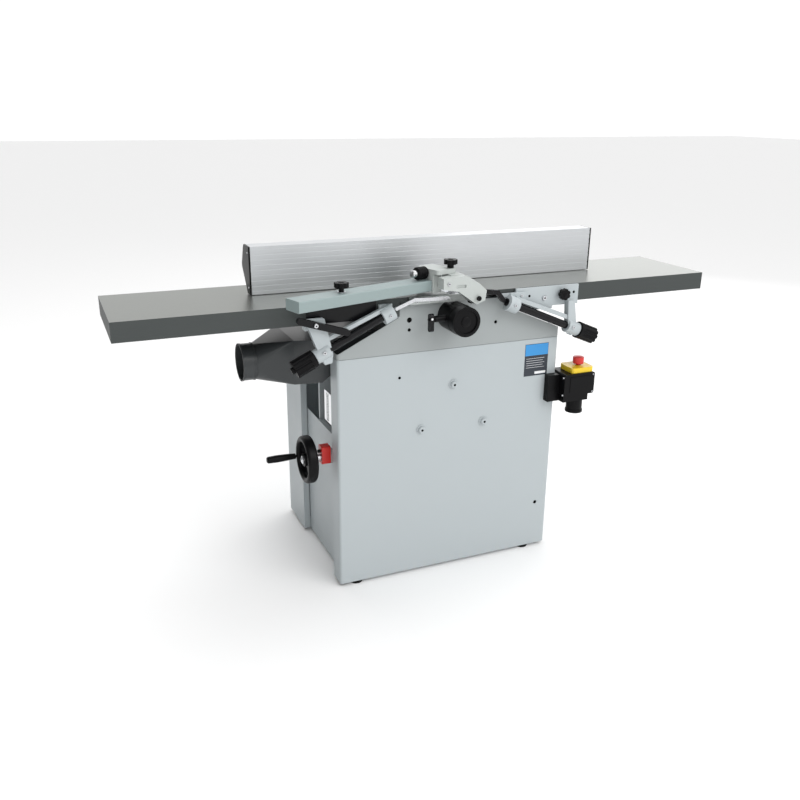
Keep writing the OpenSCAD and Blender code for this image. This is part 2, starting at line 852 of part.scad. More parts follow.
module fence_profile() {
  x0 = cutter_x - fence_len / 2 + 5;
  x1 = cutter_x + fence_len / 2 - 5;
  groove_pitch = 14;
  lugs = fence_lugs();
  color([0.75, 0.77, 0.78]) difference() {
    union() {
      plate_yz(x0, x1) difference() {
        fence_outline();
        fence_hollow();
        for (i = [0:8]) translate([front + fence_face - 1, fence_z + 9 + i * groove_pitch]) square([2.2, 3]);
      }
      for (x = lugs) plate_yz(x - 7, x + 7) union() {
        translate(tilt_axis) circle(9);
        translate([tilt_axis.x - 12, tilt_axis.y - 6]) square([14, 30]);
      }
    }
    for (x = lugs) bar_x([x - 8, tilt_axis.x, tilt_axis.y], 8 + 2 * run_gap, 16);
    translate([0, front + fence_face, fence_z]) box([lugs.x + 7, 25, -3], [lugs.y - 7, 70, 27]);
  }
}

function fence_lugs() = [fence_bar_x - 24, fence_bar_x + 24];

module fence_caps() {
  color(black) for (x = [cutter_x - fence_len / 2, cutter_x + fence_len / 2 - 5])
    plate_yz(x, x + 5) fence_outline();
}

module fence_bar() {
  x = fence_bar_x;
  color(iron) {
    box([x - 25, front + 240, table_top + 3], [x + 25, front + 500, table_top + 15]);
    box([x - 16, tilt_axis.x - 5, table_top + 3], [x + 16, front + 245, table_top + 12]);
    bar_x([x - 16, tilt_axis.x, tilt_axis.y], 16, 32);
    bar_x([x - 31, tilt_axis.x, tilt_axis.y], 8, 62);
  }
}

module fence_bracket() {
  x0 = fence_bar_x - 35;
  x1 = fence_bar_x + 35;
  slot = 0.4;
  color(iron) difference() {
    union() {
      box([x0, rear_edge, rim_z + 6], [x1, rear_edge + 12, table_top + 2]);
      box([x0, rear_edge, table_top - 16], [x1, rear_edge + 66, table_top + 30]);
    }
    box(
      [fence_bar_x - 25 - slot, rear_edge - 1, table_top + 3 - slot],
      [fence_bar_x + 25 + slot, rear_edge + 67, table_top + 15 + slot]
    );
    bar_z([fence_bar_x, rear_edge + 34, table_top + 14], 12 + 2 * run_gap, 20);
  }
}

module fence_lever() {
  c = [fence_bar_x, rear_edge + 34];
  color(black) {
    bar_z([c.x, c.y, table_top + 16], 12, 26);
    bar_z([c.x, c.y, table_top + 31], 24, 16);
    translate([0, 0, table_top + 34]) linear_extrude(10) link([c.x, c.y], [c.x + 72, c.y + 24], 7);
    translate([c.x + 76, c.y + 25, table_top + 40]) sphere(11);
  }
}

// ---- Bridge guard ----

module guard_bracket() {
  color(cream) {
    box([-120, front - 10, 850], [80, front - 0.5, table_top - 1]);
    box([-120, front - 1, 852], [-5, front, table_top - 1]);
  }
  color(steel) bar_y([arm_x, front - 66, arm_z], 12, 60);
}

module guard_arm() {
  color(cream) {
    difference() {
      plate_xz(front - 62, front - 28)
        polygon([[-46, 925], [24, deck_z], [62, 907], [86, 886], [82, 858], [56, 848], [0, 888], [-46, 896]]);
      bar_y([arm_x, front - 63, arm_z], 12 + 2 * run_gap, 40);
      box([-6, front - 64, 898], [22, front - 58, 906]);
    }
    box([-14, front - 40, 914], [24, front + 16, deck_z]);
  }
  color(steel) bar_z([pivot.x, pivot.y, deck_z - 5], 12, 21);
}

module guard_carriage() {
  gap = 0.4;
  p = pivot_in_beam;
  top = deck_z + gap - beam_corner.z;
  color(cream) at_beam() difference() {
    union() {
      translate([0, 0, top]) linear_extrude(12) union() {
        round_rect([-40, -24], [20, beam_w + 4.4], 8);
        link([0, p.y], [p.x, p.y], 14);
      }
      box([-40, -4.4, beam_h + gap], [-16, beam_w + 4.4, top + 1]);
      for (y = [-4.4, beam_w + gap]) box([-40, y, -4], [-10, y + 4, top + 1]);
      for (y = [-4.4, beam_w - 3]) box([-40, y, -4], [-10, y + 7.4, -gap]);
    }
    bar_z([p.x, p.y, top - 1], 12 + 2 * run_gap, 20);
    bar_x([-41, 26, 49], 10 + 2 * run_gap, 17);
  }
}

module guard_beam() {
  color([0.72, 0.78, 0.77]) at_beam() plate_yz(-beam_len, 0) difference() {
    round_rect([0, 0], [beam_w, beam_h], 4);
    round_rect([3, 3], [beam_w - 3, beam_h - 3], 2);
  }
}

module beam_knob() {
  color(black) at_beam() translate([-322, beam_w / 2, beam_h + 0.4]) star_knob(38, 13, 14, 12);
}

module swing_knob() {
  z = deck_z + 12.8;
  color(black) difference() {
    translate([pivot.x, pivot.y, z]) star_knob(38, 13, 18, 10);
    bar_z([pivot.x, pivot.y, z - 1], 12 + 2 * run_gap, 6);
  }
}

module guard_grip() {
  color(black) at_beam() {
    bar_x([-76, 26, 49], 33, 34);
    bar_x([-43, 26, 49], 10, 18);
  }
  color(steel) at_beam() bar_x([-90, 26, 49], 20, 15);
}

// ---- Dust hood ----

// The hood's body with its faces moved in by t: a taper from the round neck, then a bent box up to tail
module hood_body(t, tail) {
  y0 = front + 80 + t;
  y1 = front + 262 - t;
  hull() {
    translate([-521, front + 160, 688]) rotate([0, 90, 0]) cylinder(r = 50 - t, h = 1, $fn = 32);
    box([-425, y0, 632 + t], [-424, y1, 757 - t]);
  }
  plate_xz(y0, y1) polygon([
    [-425, 632 + t], [-424, 632 + t], [-345, 628 + t], [-250, 700 + t], [tail, 735 + t],
    [tail, 788 - t], [-250, 752 - t], [-345, 752 - t], [-424, 757 - t], [-425, 757 - t]
  ]);
}

module dust_hood() {
  color([0.2, 0.21, 0.21]) difference() {
    union() {
      bar_x([-558, front + 160, 688], 103, 38.7);
      hood_body(0, -75);
    }
    bar_x([-559, front + 160, 688], 97, 39.5);
    hood_body(3, -73);
  }
}

// ---- Switch ----

module switch_body() {
  color(black) {
    box([345, front - 6, 508], [386, front + 17, 592]);
    plate_xz(front - 35, front + 15) round_rect([384, 529], [492, 597], 6);
    plate_xz(front + 15, front + 47) round_rect([386, 529], [492, 597], 6);
    box([386, front - 30, 508], [475, front + 40, 534]);
    bar_z([452, front + 5, 462], 50, 50);
  }
}

module switch_flap() {
  color([0.93, 0.78, 0.1]) difference() {
    union() {
      translate([0, 0, flap_z]) linear_extrude(15.5) round_rect([412, front - 30], [489, front + 40], 9);
      bar_x([431, front + 40, flap_z + 3], 6, 40);
    }
    bar_z([button.x, button.y, flap_z - 1], 16, 20);
  }
}

module stop_button() {
  color(red) {
    bar_z([button.x, button.y, 602], 14, 17);
    bar_z([button.x, button.y, 618], 34, 20);
  }
}

base_pan();
levelling_feet();
front_panel();
front_cover();
side_panels();
rear_box();
rear_cover();
front_cheek();
rear_cheek();
panel_screws();
motor();
motor_pulley();
drive_belt();
cutter_block();
cutter_knives();
cutter_pulley();
cutter_bearings();
feed_roller_in();
feed_roller_out();
kickback_rod();
kickback_fingers();
thicknesser_table();
lift_column();
lift_screw();
drive_shaft();
handwheel();
crank_handle();
position_indicator();
hinge_brackets();
outfeed_table();
infeed_carrier();
infeed_table();
infeed_lock_knob();
outfeed_arm();
infeed_arm();
outfeed_latch_bar();
infeed_latch_bar();
left_lock_rod();
left_rod_knob();
right_lock_rod();
right_rod_knob();
latch_lever();
lock_hub();
hub_lever();
fence_profile();
fence_caps();
fence_bar();
fence_bracket();
fence_lever();
guard_bracket();
guard_arm();
guard_carriage();
guard_beam();
beam_knob();
swing_knob();
guard_grip();
dust_hood();
switch_body();
switch_flap();
stop_button();
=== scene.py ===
import json
import math

import bmesh
import bpy
from mathutils import Matrix, Vector


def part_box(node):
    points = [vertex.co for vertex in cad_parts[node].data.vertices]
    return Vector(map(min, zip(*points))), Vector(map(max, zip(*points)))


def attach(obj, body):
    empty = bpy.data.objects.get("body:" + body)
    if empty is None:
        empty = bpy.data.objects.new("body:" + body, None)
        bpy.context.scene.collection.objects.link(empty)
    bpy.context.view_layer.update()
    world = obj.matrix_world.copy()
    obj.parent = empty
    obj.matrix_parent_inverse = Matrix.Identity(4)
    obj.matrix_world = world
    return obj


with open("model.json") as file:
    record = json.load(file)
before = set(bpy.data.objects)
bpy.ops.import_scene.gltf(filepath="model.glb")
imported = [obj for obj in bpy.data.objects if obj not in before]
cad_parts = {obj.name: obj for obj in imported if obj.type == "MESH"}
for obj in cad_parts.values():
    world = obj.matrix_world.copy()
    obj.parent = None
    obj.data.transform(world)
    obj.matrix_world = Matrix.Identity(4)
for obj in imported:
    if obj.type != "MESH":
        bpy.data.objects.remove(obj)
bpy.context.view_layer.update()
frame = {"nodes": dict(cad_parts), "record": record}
nodes = frame["nodes"]
record = frame["record"]

MM = 0.001
FORWARD = (0, -1, 0)
BACKWARD = (0, 1, 0)
LEFTWARD = (-1, 0, 0)
RIGHTWARD = (1, 0, 0)
UPWARD = (0, 0, 1)
table_low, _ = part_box("outfeed_table")
FRONT = table_low.y


def at(x, y, z):
    """A point given in millimetres, with y counted from the tables' front edge."""
    return Vector((x * MM, FRONT + y * MM, z * MM))


# ---- Camera ----

CAMERA_PLACE = Vector((-1.0306, FRONT - 2.0483, 1.3697))
CAMERA_TURN = 0.4088
CAMERA_DIP = 0.3414
CAMERA_ROLL = 0.0103
CAMERA_LENS = 37.76
CAMERA_SENSOR = 36


def add_camera():
    """A camera turned to the right, dipped from the level and rolled, all in radians."""
    data = bpy.data.cameras.new("camera")
    data.lens = CAMERA_LENS
    data.sensor_width = CAMERA_SENSOR
    camera = bpy.data.objects.new("camera", data)
    bpy.context.scene.collection.objects.link(camera)
    ahead = Vector((math.sin(CAMERA_TURN), math.cos(CAMERA_TURN), 0))
    level = Vector((math.cos(CAMERA_TURN), -math.sin(CAMERA_TURN), 0))
    view = ahead * math.cos(CAMERA_DIP) - Vector(UPWARD) * math.sin(CAMERA_DIP)
    upright = level.cross(view)
    right = level * math.cos(CAMERA_ROLL) + upright * math.sin(CAMERA_ROLL)
    up = upright * math.cos(CAMERA_ROLL) - level * math.sin(CAMERA_ROLL)
    turned = Matrix((right, up, -view)).transposed().to_4x4()
    camera.matrix_world = Matrix.Translation(CAMERA_PLACE) @ turned
    bpy.context.scene.camera = camera


add_camera()


# ---- Materials ----

PLASTIC_GRAIN = 0.00015
METAL_GRAIN = 0.00008
IRON_GRAIN = 0.0001
TOP_NORMAL = 0.9


def new_material(name, color, roughness, metallic=0.0, specular=0.5):
    m = bpy.data.materials.new(name)
    m.use_nodes = True
    shader = m.node_tree.nodes["Principled BSDF"]
    shader.inputs["Base Color"].default_value = (*color, 1)
    shader.inputs["Roughness"].default_value = roughness
    shader.inputs["Metallic"].default_value = metallic
    shader.inputs["Specular IOR Level"].default_value = specular
    return m, shader


def noise(m, scale, detail=3.0, stretch=(1, 1, 1)):
    tree = m.node_tree
    place = tree.nodes.new("ShaderNodeTexCoord")
    mapping = tree.nodes.new("ShaderNodeMapping")
    mapping.inputs["Scale"].default_value = stretch
    texture = tree.nodes.new("ShaderNodeTexNoise")
    texture.inputs["Scale"].default_value = scale
    texture.inputs["Detail"].default_value = detail
    tree.links.new(place.outputs["Object"], mapping.inputs["Vector"])
    tree.links.new(mapping.outputs["Vector"], texture.inputs["Vector"])
    return texture


def add_bump(m, shader, texture, strength, distance):
    bump = m.node_tree.nodes.new("ShaderNodeBump")
    bump.inputs["Strength"].default_value = strength
    bump.inputs["Distance"].default_value = distance
    m.node_tree.links.new(texture.outputs["Fac"], bump.inputs["Height"])
    m.node_tree.links.new(bump.outputs["Normal"], shader.inputs["Normal"])


def vary_roughness(m, shader, texture, low, high):
    """The texture drives the roughness between two values."""
    tree = m.node_tree
    ramp = tree.nodes.new("ShaderNodeValToRGB")
    for stop, position, value in zip(ramp.color_ramp.elements, (0.3, 0.7), (low, high)):
        stop.position = position
        stop.color = (value, value, value, 1)
    tree.links.new(texture.outputs["Fac"], ramp.inputs["Fac"])
    tree.links.new(ramp.outputs["Color"], shader.inputs["Roughness"])


def paint(name, color, roughness=0.42, grain=0.00012, specular=0.5):
    m, shader = new_material(name, color, roughness, 0.0, specular)
    add_bump(m, shader, noise(m, 900), 0.18, grain)
    vary_roughness(m, shader, noise(m, 6), roughness - 0.05, roughness + 0.06)
    return m


def plastic(name, color, roughness=0.5, specular=0.5):
    m, shader = new_material(name, color, roughness, 0.0, specular)
    add_bump(m, shader, noise(m, 1600, 2), 0.3, PLASTIC_GRAIN)
    return m


def metal(name, color, roughness=0.3, stretch=(1, 1, 1), scale=300):
    m, shader = new_material(name, color, roughness, 1.0)
    streaks = noise(m, scale, 4, stretch)
    vary_roughness(m, shader, streaks, roughness - 0.06, roughness + 0.08)
    add_bump(m, shader, streaks, 0.08, METAL_GRAIN)
    return m


def by_face(tree, is_top, cast, ground, socket):
    """One value on the cast sides and another on the ground top."""
    pick = tree.nodes.new("ShaderNodeMapRange")
    pick.inputs["To Min"].default_value = cast
    pick.inputs["To Max"].default_value = ground
    tree.links.new(is_top.outputs[0], pick.inputs["Value"])
    tree.links.new(pick.outputs["Result"], socket)


def machined_iron(name, ground, cast):
    """Cast iron with its top ground bright: the top is told by the surface's own normal."""
    m, shader = new_material(name, cast, 0.55)
    tree = m.node_tree
    place = tree.nodes.new("ShaderNodeTexCoord")
    split = tree.nodes.new("ShaderNodeSeparateXYZ")
    tree.links.new(place.outputs["Normal"], split.inputs["Vector"])
    is_top = tree.nodes.new("ShaderNodeMath")
    is_top.operation = "GREATER_THAN"
    is_top.inputs[1].default_value = TOP_NORMAL
    tree.links.new(split.outputs["Z"], is_top.inputs[0])
    streaks = noise(m, 220, 4, (0.25, 3, 1))
    shade = tree.nodes.new("ShaderNodeValToRGB")
    for stop, strength in zip(shade.color_ramp.elements, (0.86, 1.12)):
        stop.color = (*[c * strength for c in ground], 1)
    tree.links.new(streaks.outputs["Fac"], shade.inputs["Fac"])
    mix = tree.nodes.new("ShaderNodeMix")
    mix.data_type = "RGBA"
    mix.inputs["A"].default_value = (*cast, 1)
    tree.links.new(is_top.outputs[0], mix.inputs["Factor"])
    tree.links.new(shade.outputs["Color"], mix.inputs["B"])
    tree.links.new(mix.outputs["Result"], shader.inputs["Base Color"])
    by_face(tree, is_top, 0.55, 0.33, shader.inputs["Roughness"])
    by_face(tree, is_top, 0.2, 0.85, shader.inputs["Metallic"])
    add_bump(m, shader, streaks, 0.06, IRON_GRAIN)
    return m


MATERIALS = {
    "light_grey_paint": paint("light_grey_paint", (0.415, 0.455, 0.47)),
    "warm_grey_paint": paint("warm_grey_paint", (0.315, 0.34, 0.342)),
    "cream_paint": paint("cream_paint", (0.45, 0.48, 0.465)),
    "beam_paint": paint("beam_paint", (0.25, 0.31, 0.31), 0.38),
    "black_paint": paint("black_paint", (0.005, 0.005, 0.006), 0.24, specular=0.22),
    "motor_paint": paint("motor_paint", (0.05, 0.07, 0.09), 0.5),
    "ground_iron": machined_iron("ground_iron", (0.21, 0.22, 0.205), (0.046, 0.053, 0.052)),
    "grey_iron": paint("grey_iron", (0.07, 0.072, 0.072), 0.55, 0.0003),
    "steel": metal("steel", (0.62, 0.63, 0.65), 0.28),
    "knife_steel": metal("knife_steel", (0.80, 0.81, 0.83), 0.18),
    "fence_aluminium": metal("fence_aluminium", (0.60, 0.615, 0.63), 0.38, (0.1, 2, 2), 160),
    "black_plastic": plastic("black_plastic", (0.004, 0.004, 0.0045), 0.34, specular=0.12),
    "hood_plastic": plastic("hood_plastic", (0.036, 0.040, 0.042), 0.32, specular=0.4),
    "black_rubber": plastic("black_rubber", (0.008, 0.008, 0.008), 0.7, specular=0.15),
    "red_plastic": plastic("red_plastic", (0.62, 0.025, 0.02), 0.3),
    "yellow_plastic": plastic("yellow_plastic", (0.80, 0.56, 0.02), 0.32),
}
STEEL = MATERIALS["steel"]
BLACK = MATERIALS["black_plastic"]
BLUE = plastic("plate_blue", (0.03, 0.26, 0.60), 0.35)
DARK = plastic("plate_dark", (0.018, 0.024, 0.035), 0.4)
WHITE = plastic("plate_white", (0.75, 0.76, 0.77), 0.4)
# Near-black material. It serves as painted shade on the discs that stand for the dark inside of
# holes and screw sockets. It is also the ink of the scale's marks and the colour of the small panel
# plug.
SHADE_AND_MARKS = plastic("painted_shade_and_marks", (0.003, 0.003, 0.003), 0.8, specular=0.05)
CHROME = metal("chrome", (0.78, 0.79, 0.80), 0.12)


# ---- Finish of the edges ----

WELD_DISTANCE = 0.00001
FLAT_ANGLE = math.radians(0.3)
SHARP_ANGLE = math.radians(32)
BEVEL_ANGLE = math.radians(40)
FINE_BEVEL = 0.0012
USUAL_BEVEL = 0.0006
NO_BEVEL = {"cutter_knives", "kickback_fingers", "drive_belt", "rear_cover"}
WIDE_BEVEL = {
    "outfeed_arm": 0.0025,
    "infeed_arm": 0.0025,
    "guard_arm": 0.004,
    "guard_carriage": 0.003,
    "guard_bracket": 0.0015,
    "lock_hub": 0.003,
    "outfeed_latch_bar": 0.0035,
    "infeed_latch_bar": 0.0045,
    "latch_lever": 0.004,
    "hub_lever": 0.003,
    "switch_body": 0.003,
    "switch_flap": 0.004,
    "stop_button": 0.0014,
    "guard_grip": 0.003,
    "left_rod_knob": 0.003,
    "right_rod_knob": 0.003,
    "beam_knob": 0.002,
    "swing_knob": 0.002,
    "infeed_lock_knob": 0.002,
    "position_indicator": 0.003,
    "handwheel": 0.0015,
}


def set_smooth(group, domain, smooth):
    step = group.nodes.new("GeometryNodeSetShadeSmooth")
    step.domain = domain
    step.inputs["Shade Smooth"].default_value = smooth
    return step


def smooth_group():
    """Geometry nodes that shade a mesh smooth and keep edges over SHARP_ANGLE sharp."""
    group = bpy.data.node_groups.new("smooth_by_angle", "GeometryNodeTree")
    group.interface.new_socket("Geometry", in_out="INPUT", socket_type="NodeSocketGeometry")
    group.interface.new_socket("Geometry", in_out="OUTPUT", socket_type="NodeSocketGeometry")
    start = group.nodes.new("NodeGroupInput")
    end = group.nodes.new("NodeGroupOutput")
    faces = set_smooth(group, "FACE", True)
    edges = set_smooth(group, "EDGE", False)
    angle = group.nodes.new("GeometryNodeInputMeshEdgeAngle")
    sharp = group.nodes.new("FunctionNodeCompare")
    sharp.data_type = "FLOAT"
    sharp.operation = "GREATER_THAN"
    sharp.inputs["B"].default_value = SHARP_ANGLE
    group.links.new(angle.outputs["Unsigned Angle"], sharp.inputs["A"])
    group.links.new(start.outputs[0], faces.inputs["Geometry"])
    group.links.new(faces.outputs["Geometry"], edges.inputs["Geometry"])
    group.links.new(sharp.outputs["Result"], edges.inputs["Selection"])
    group.links.new(edges.outputs["Geometry"], end.inputs[0])
    return group


SMOOTH = smooth_group()


def finish_edges(obj, width):
    weld = obj.modifiers.new("weld", "WELD")
    weld.merge_threshold = WELD_DISTANCE
    flat = obj.modifiers.new("flat", "DECIMATE")
    flat.decimate_type = "DISSOLVE"
    flat.angle_limit = FLAT_ANGLE
    if width > 0:
        bevel = obj.modifiers.new("bevel", "BEVEL")
        bevel.width = width
        bevel.segments = 3 if width > FINE_BEVEL else 2
        bevel.limit_method = "ANGLE"
        bevel.angle_limit = BEVEL_ANGLE
        bevel.miter_outer = "MITER_ARC"
    smooth = obj.modifiers.new("smooth", "NODES")
    smooth.node_group = SMOOTH
    weighted = obj.modifiers.new("weighted", "WEIGHTED_NORMAL")
    weighted.keep_sharp = True


def bevel_of(name):
    return 0 if name in NO_BEVEL else WIDE_BEVEL.get(name, USUAL_BEVEL)


for entry in record["subparts"]:
    node = nodes[entry["node"]]
    node.data.materials.clear()
    node.data.materials.append(MATERIALS[entry["material_slot"]])
    finish_edges(node, bevel_of(entry["node"]))


# ---- Shapes of the added pieces ----

RING_BEVEL = 0.4


def add_mesh(name, bm, material, body, bevel=0.0):
    mesh = bpy.data.meshes.new(name)
    bmesh.ops.recalc_face_normals(bm, faces=bm.faces)
    bm.to_mesh(mesh)
    bm.free()
    obj = bpy.data.objects.new(name, mesh)
    bpy.context.scene.collection.objects.link(obj)
    mesh.materials.append(material)
    finish_edges(obj, bevel * MM)
    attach(obj, body)


def turned_rows(bm, place, axis, profile, steps):
    """A circle of vertices for each (radius, height) in millimetres along axis from place."""
    turn = Vector(UPWARD).rotation_difference(Vector(axis)).to_matrix()
    rows = []
    for r, h in profile:
        row = []
        for i in range(steps):
            a = 2 * math.pi * i / steps
            p = Vector((r * math.cos(a), r * math.sin(a), h)) * MM
            row.append(bm.verts.new(place + turn @ p))
        rows.append(row)
    return rows


def skin(bm, rows):
    """Faces from each closed row of vertices to the next."""
    for a, b in zip(rows, rows[1:]):
        for i in range(len(a)):
            j = (i + 1) % len(a)
            bm.faces.new((a[i], a[j], b[j], b[i]))


def lathe(name, place, axis, profile, material, body, steps=48):
    """A turned piece with flat ends."""
    bm = bmesh.new()
    rows = turned_rows(bm, place, axis, profile, steps)
    skin(bm, rows)
    bm.faces.new(rows[0])
    bm.faces.new(rows[-1])
    add_mesh(name, bm, material, body)


def ring(name, place, axis, inner, outer, length, material, body, steps=64):
    """A turned piece with a hole through it."""
    bm = bmesh.new()
    profile = [(inner, 0), (outer, 0), (outer, length), (inner, length)]
    rows = turned_rows(bm, place, axis, profile, steps)
    skin(bm, rows + rows[:1])
    add_mesh(name, bm, material, body, RING_BEVEL)


def block(name, low, high, material, body, bevel=0.4):
    """A box between two corners given by at()."""
    bm = bmesh.new()
    bmesh.ops.create_cube(bm, size=1)
    size = high - low
    for v in bm.verts:
        v.co = Vector([low[i] + (v.co[i] + 0.5) * size[i] for i in range(3)])
    add_mesh(name, bm, material, body, bevel)


def socket_screw(name, place, axis, r, material, body):
    """A domed screw head with a dark hexagon disc in its socket, painted shade for the recess."""
    head = [(r, 0), (r, 0.5 * r), (0.85 * r, 0.75 * r), (0.6 * r, 0.8 * r)]
    lathe(name, place, axis, head, material, body)
    top = place + Vector(axis) * (0.8 * r) * MM
    lathe(name + "_socket", top, axis, [(0.4 * r, -0.3), (0.4 * r, 0.15)], SHADE_AND_MARKS, body, 6)


# ---- Cabinet: panel screws, dark discs painted as shade in its holes, and the type plate ----

PANEL_Y = 17
PANEL_SCREWS = [(33, 597), (-68, 470), (137, 468)]
WASHER = [(15, -0.2), (15, 1.3), (14.3, 2.2)]
CAP_HEAD = [(10.4, 2.3), (10.2, 7.4), (8.6, 9.4), (5.2, 10)]
HOLE_SHADE_DISCS = [(-110, 801, 7.3), (-110, 773, 4.8), (164, 771, 4.8), (341, 159, 5.8)]

for i, (x, z) in enumerate(PANEL_SCREWS):
    grey = MATERIALS["light_grey_paint"]
    lathe(f"panel_screw_{i}", at(x, PANEL_Y, z), FORWARD, WASHER + CAP_HEAD, grey, "machine")
    # A dark hexagon disc in each screw head: painted shade for the socket's recess.
    recess = at(x, PANEL_Y - 9.9, z)
    lathe(f"panel_screw_socket_{i}", recess, FORWARD, [(4, -0.4), (4, 0.3)], SHADE_AND_MARKS, "machine", 6)
# Flat dark discs set just behind the panel's face in its holes: painted shade standing for the dark
# inside.
for i, (x, z, r) in enumerate(HOLE_SHADE_DISCS):
    lathe(f"hole_shade_disc_{i}", at(x, PANEL_Y + 1.9, z), FORWARD, [(r, 0), (r, 0.9)], SHADE_AND_MARKS, "machine")
small_plug = [(4, -0.5), (4, 0.6), (2.5, 1.4)]
lathe("panel_plug", at(-138, PANEL_Y, 636), FORWARD, small_plug, SHADE_AND_MARKS, "machine")

PLATE_X0, PLATE_X1, PLATE_Z0, PLATE_Z1 = 270, 351, 591, 691
PLATE_Y = PANEL_Y - 0.5
LINE_STEP = 7
LINE_WIDTH = 1.2


def plate_field(name, x0, x1, z0, z1, height, material, bevel=0.1):
    """A flat field that stands proud of the plate's face."""
    low = at(x0, PLATE_Y - height, z0)
    block(name, low, at(x1, PLATE_Y, z1), material, "machine", bevel)


plate_low = at(PLATE_X0, PLATE_Y, PLATE_Z0)
block("plate_body", plate_low, at(PLATE_X1, PANEL_Y, PLATE_Z1), DARK, "machine", 0.1)
plate_field("plate_band", PLATE_X0 + 1, PLATE_X1 - 1, PLATE_Z1 - 36, PLATE_Z1 - 1, 0.3, BLUE)
plate_field("plate_bar", PLATE_X1 - 44, PLATE_X1 - 6, PLATE_Z0 + 5, PLATE_Z0 + 13, 0.3, WHITE)
for i in range(5):
    z = PLATE_Z1 - 46 - LINE_STEP * i
    line_end = PLATE_X1 - 12 - 6 * (i % 2)
    plate_field(f"plate_line_{i}", PLATE_X0 + 6, line_end, z, z + LINE_WIDTH, 0.2, STEEL, 0.05)


# ---- Bracket with the thickness scale, behind the panel's left edge ----

SCALE_X = -318
STRIP_X = SCALE_X - 0.6
MARK_X = STRIP_X - 0.3
MARK_Y = 113
MARK_Z = 498
MARK_STEP = 4.8
MARK_WIDTH = 0.7

block("scale_bracket", at(SCALE_X, 74.5, 492), at(SCALE_X + 2.5, 150, 584), CHROME, "machine")
block("scale_strip", at(STRIP_X, 112, 496), at(SCALE_X, 132, 580), WHITE, "machine", 0.1)
for i in range(17):
    length = 12 if i % 5 == 0 else 6
    z = MARK_Z + MARK_STEP * i
    mark_end = at(STRIP_X, MARK_Y + length, z + MARK_WIDTH)
    block(f"scale_mark_{i}", at(MARK_X, MARK_Y, z), mark_end, SHADE_AND_MARKS, "machine", 0)


# ---- Handwheel shaft: button over the position indicator, and the wheel's cap ----

SHAFT_Y, SHAFT_Z = 105, 392
button = [(5, 0), (5, 6), (4, 8)]
lathe("indicator_knob", at(-349, SHAFT_Y, SHAFT_Z + 20), LEFTWARD, button, BLACK, "machine")
wheel_cap = [(12, 0), (12, 2), (8, 4), (2, 4.5)]
lathe("wheel_cap", at(-402, SHAFT_Y, SHAFT_Z), LEFTWARD, wheel_cap, STEEL, "wheel")


# ---- Dust port: rim at its mouth, shoulder where it meets the hood ----

NECK_Y, NECK_Z = 160, 688
HOOD = MATERIALS["hood_plastic"]
ring("hood_rim", at(-558, NECK_Y, NECK_Z), RIGHTWARD, 48, 53, 5, HOOD, "machine")
ring("hood_shoulder", at(-524, NECK_Y, NECK_Z), RIGHTWARD, 48.4, 53, 4, HOOD, "machine")


# ---- Screws of the arms, plates and rings, and a black sheet painted as shade behind the left lock rod ----

FRONT_SCREWS = [
    ("left_arm_screw", at(-376, -39.5, 750), 5.5, "outfeed"),
    ("right_arm_screw", at(395, -39.5, 746), 5.5, "infeed_frame"),
    ("left_ring_screw", at(-191, -42.5, 833.5), 4.5, "outfeed"),
    ("right_ring_screw", at(192, -42.5, 829.5), 4.5, "infeed_frame"),
    ("plate_screw", at(307, -8, 836), 7, "infeed_frame"),
    ("pad_screw_left", at(-186, -8, 850), 3.5, "outfeed"),
    ("pad_screw_right", at(226, -16, 850), 4, "infeed_frame"),
    ("bracket_screw_0", at(-100, -10, 857), 4, "outfeed"),
    ("bracket_screw_1", at(-62, -10, 857), 4, "outfeed"),
    ("lever_screw", at(-400, -47, 827), 6, "outfeed"),
    ("arm_screw", at(-30, -62, 911), 5, "guard_raiser"),
]
PLATE_HOLES = [(257, 845), (409, 846)]

for name, place, r, body in FRONT_SCREWS:
    socket_screw(name, place, FORWARD, r, STEEL, body)
# Dark discs on the carrier plate: painted shade standing for the dark inside of its holes.
for i, (x, z) in enumerate(PLATE_HOLES):
    lathe(f"plate_hole_shade_{i}", at(x, -8, z), FORWARD, [(4, -0.5), (4, 0.1)], SHADE_AND_MARKS, "infeed_frame")
BLACK_PAINT = MATERIALS["black_paint"]
# A thin black sheet on the table's side: painted shade standing for the shadow between the beam and
# the left lock rod.
block("rim_shade_sheet", at(-412, -0.8, 819), at(-216, -0.1, 868), BLACK_PAINT, "outfeed", 0.1)


# ---- Guard: arm's pin, beam's end plugs, grip's bands and tip ----

BEAM_TURN = math.radians(16.5)
BEAM_CORNER = at(-17, 4, 882)
ALONG = Vector((math.cos(BEAM_TURN), math.sin(BEAM_TURN), 0))
ACROSS = Vector((-math.sin(BEAM_TURN), math.cos(BEAM_TURN), 0))
BEAM_WIDTH = 60
BEAM_HEIGHT = 30
PLUG_INSET = 5.1
PLUG_CORNER = 2
GRIP_Y, GRIP_Z = 26, 49
BAND_STEP = 6.4
BEAM_KNOB_X, BEAM_KNOB_Y = -322, 30


def beam_at(x, y, z):
    """A point in millimetres along, across and above the beam's lower front corner."""
    return BEAM_CORNER + (ALONG * x + ACROSS * y + Vector((0, 0, z))) * MM


def beam_plug(name, x0, x1):
    """A rounded plate inside the beam's hollow, from x0 to x1 along it."""
    bm = bmesh.new()
    far, high = BEAM_WIDTH - PLUG_INSET, BEAM_HEIGHT - PLUG_INSET
    corners = [(far, high), (PLUG_INSET, high), (PLUG_INSET, PLUG_INSET), (far, PLUG_INSET)]
    rows = []
    for x in (x0, x1):
        row = []
        for quarter, (y, z) in enumerate(corners):
            for k in range(5):
                a = math.radians(90 * quarter + 22.5 * k)
                y1, z1 = y + PLUG_CORNER * math.cos(a), z + PLUG_CORNER * math.sin(a)
                row.append(bm.verts.new(beam_at(x, y1, z1)))
        rows.append(row)
    skin(bm, rows)
    bm.faces.new(rows[0])
    bm.faces.new(rows[1])
    add_mesh(name, bm, MATERIALS["beam_paint"], "guard")


